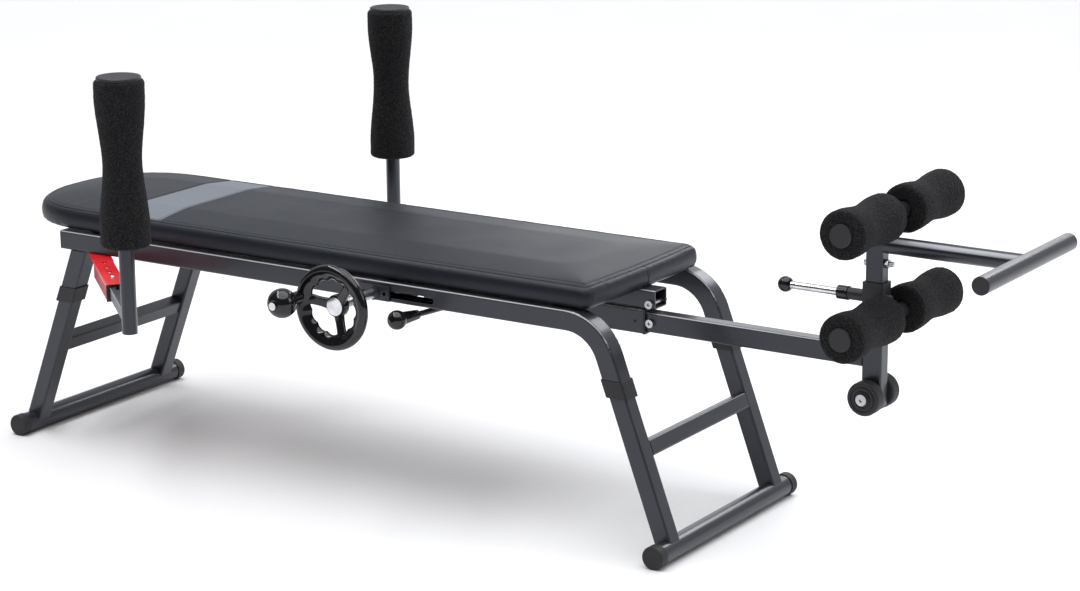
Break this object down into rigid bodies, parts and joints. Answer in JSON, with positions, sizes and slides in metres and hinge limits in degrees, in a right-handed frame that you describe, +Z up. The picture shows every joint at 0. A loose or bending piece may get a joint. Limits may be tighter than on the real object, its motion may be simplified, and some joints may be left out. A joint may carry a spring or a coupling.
{
  "type": "back traction bench",
  "caption": "Padded horizontal back-stretch bench on raked legs, with sliding armpit posts, an ankle roller clamp on a telescoping beam and a handwheel traction drive.",
  "frame": {"origin": "on the floor, under the middle of the whole bench's box at rest", "axes": "+X along the bench from the head end to the T handle, +Z up, the handwheel on the -Y side"},
  "size_m": [1.8879, 0.8828, 0.726],
  "materials": {
    "charcoal_frame": "satin",
    "red_sleeve": "gloss",
    "zinc_hardware": "satin",
    "chrome_rod": "polished",
    "black_vinyl": "satin",
    "black_foam": "matte",
    "seat_foam": "matte",
    "plywood": "matte",
    "black_plastic": "matte",
    "gloss_black_plastic": "gloss",
    "wheel_rubber": "matte"
  },
  "bodies": {
    "frame": {"floor_bars": "charcoal_frame", "frame_end_caps": "wheel_rubber", "lower_legs": "charcoal_frame", "head_upper_legs": "charcoal_frame", "near_side_rail": "charcoal_frame", "far_side_rail": "charcoal_frame", "leg_crossbars": "charcoal_frame", "leg_collars": "black_plastic", "cross_members": "charcoal_frame", "spine_tube": "charcoal_frame", "frame_bolts": "zinc_hardware", "drive_rack": "zinc_hardware", "pad_board": "plywood", "pad_foam": "seat_foam", "pad_cover": "black_vinyl", "arm_sleeves": "red_sleeve", "arm_sleeve_liners": "black_plastic"},
    "traction_carriage": {"carriage_sleeve": "charcoal_frame", "carriage_slider": "charcoal_frame", "carriage_bushes": "black_plastic", "carriage_brackets": "charcoal_frame", "slot_plate": "charcoal_frame", "lever_pivot_bolt": "zinc_hardware"},
    "handwheel": {"handwheel_shaft": "zinc_hardware", "drive_pinion": "zinc_hardware", "handwheel": "gloss_black_plastic", "handwheel_fasteners": "chrome_rod"},
    "crank_knob": {"crank_knob": "gloss_black_plastic"},
    "release_lever": {"lever_arm": "chrome_rod", "lever_handle": "gloss_black_plastic"},
    "foot_beam": {"foot_beam": "charcoal_frame", "foot_beam_bolts": "zinc_hardware", "ankle_post_outer": "charcoal_frame", "ankle_post_collar": "black_plastic", "lower_roller_axle": "charcoal_frame", "lower_roller_caps": "black_plastic"},
    "ankle_carriage": {"ankle_post_inner": "charcoal_frame", "ankle_post_bolt": "zinc_hardware", "upper_roller_axle": "charcoal_frame", "upper_roller_caps": "black_plastic", "t_handle": "charcoal_frame", "t_handle_caps": "black_plastic"},
    "near_lower_roller": {"near_lower_roller": "black_foam"},
    "far_lower_roller": {"far_lower_roller": "black_foam"},
    "near_upper_roller": {"near_upper_roller": "black_foam"},
    "far_upper_roller": {"far_upper_roller": "black_foam"},
    "lock_pin": {"lock_pin": "chrome_rod", "lock_pin_handle": "gloss_black_plastic"},
    "near_transport_wheel": {"near_transport_wheel": "wheel_rubber"},
    "far_transport_wheel": {"far_transport_wheel": "wheel_rubber"},
    "near_arm": {"near_arm_tube": "charcoal_frame", "near_post_tube": "charcoal_frame", "near_post_foam": "black_foam", "near_post_cap": "black_plastic"},
    "far_arm": {"far_arm_tube": "charcoal_frame", "far_post_tube": "charcoal_frame", "far_post_foam": "black_foam", "far_post_cap": "black_plastic"},
    "near_snap_button": {"near_snap_button": "zinc_hardware"},
    "far_snap_button": {"far_snap_button": "zinc_hardware"}
  },
  "joints": [
    {"name": "traction_slide", "type": "slide", "parent": "frame", "child": "traction_carriage", "axis": [1, 0, 0], "range_m": [0, 0.1]},
    {"name": "handwheel_spin", "type": "hinge", "parent": "traction_carriage", "child": "handwheel", "pos_m": [-0.123, -0.27704, 0.362], "axis": [0, 1, 0], "range_deg": [0, 360]},
    {"name": "crank_knob_spin", "type": "hinge", "parent": "handwheel", "child": "crank_knob", "pos_m": [-0.18307, -0.32704, 0.37259], "axis": [0, 1, 0], "continuous": true},
    {"name": "lever_release", "type": "hinge", "parent": "traction_carriage", "child": "release_lever", "pos_m": [-0.042, -0.01704, 0.326], "axis": [0, 0, 1], "range_deg": [-12, 0], "stiffness_Nm_per_rad": 2, "springref_deg": 5.73},
    {"name": "beam_slide", "type": "slide", "parent": "traction_carriage", "child": "foot_beam", "axis": [1, 0, 0], "range_m": [0, 0.24]},
    {"name": "ankle_slide", "type": "slide", "parent": "foot_beam", "child": "ankle_carriage", "axis": [0, 0, 1], "range_m": [-0.02, 0.08]},
    {"name": "near_lower_roller_spin", "type": "hinge", "parent": "foot_beam", "child": "near_lower_roller", "pos_m": [0.7175, -0.07704, 0.4003], "axis": [0, 1, 0], "continuous": true},
    {"name": "far_lower_roller_spin", "type": "hinge", "parent": "foot_beam", "child": "far_lower_roller", "pos_m": [0.7175, 0.12296, 0.4003], "axis": [0, 1, 0], "continuous": true},
    {"name": "near_upper_roller_spin", "type": "hinge", "parent": "ankle_carriage", "child": "near_upper_roller", "pos_m": [0.7153, -0.07704, 0.557], "axis": [0, 1, 0], "continuous": true},
    {"name": "far_upper_roller_spin", "type": "hinge", "parent": "ankle_carriage", "child": "far_upper_roller", "pos_m": [0.7153, 0.12296, 0.557], "axis": [0, 1, 0], "continuous": true},
    {"name": "lock_pin_pull", "type": "slide", "parent": "foot_beam", "child": "lock_pin", "axis": [-1, 0, 0], "range_m": [0, 0.012], "stiffness_N_per_m": 800, "springref_m": -0.003},
    {"name": "near_transport_wheel_spin", "type": "hinge", "parent": "foot_beam", "child": "near_transport_wheel", "pos_m": [0.687, -0.00304, 0.2696], "axis": [0, 1, 0], "continuous": true},
    {"name": "far_transport_wheel_spin", "type": "hinge", "parent": "foot_beam", "child": "far_transport_wheel", "pos_m": [0.687, 0.04896, 0.2696], "axis": [0, 1, 0], "continuous": true},
    {"name": "near_arm_slide", "type": "slide", "parent": "frame", "child": "near_arm", "axis": [0.7547, -0.6561, 0], "range_m": [-0.07, 0]},
    {"name": "far_arm_slide", "type": "slide", "parent": "frame", "child": "far_arm", "axis": [0.7547, 0.6561, 0], "range_m": [0, 0.07]},
    {"name": "near_snap_button_press", "type": "slide", "parent": "frame", "child": "near_snap_button", "axis": [0, 0, -1], "range_m": [0, 0.003], "stiffness_N_per_m": 600, "springref_m": -0.001},
    {"name": "far_snap_button_press", "type": "slide", "parent": "frame", "child": "far_snap_button", "axis": [0, 0, -1], "range_m": [0, 0.003], "stiffness_N_per_m": 600, "springref_m": -0.001}
  ],
  "couplings": [
    {"joint": "handwheel_spin", "follows": "traction_slide", "rad_per_m": 62.5}
  ]
}
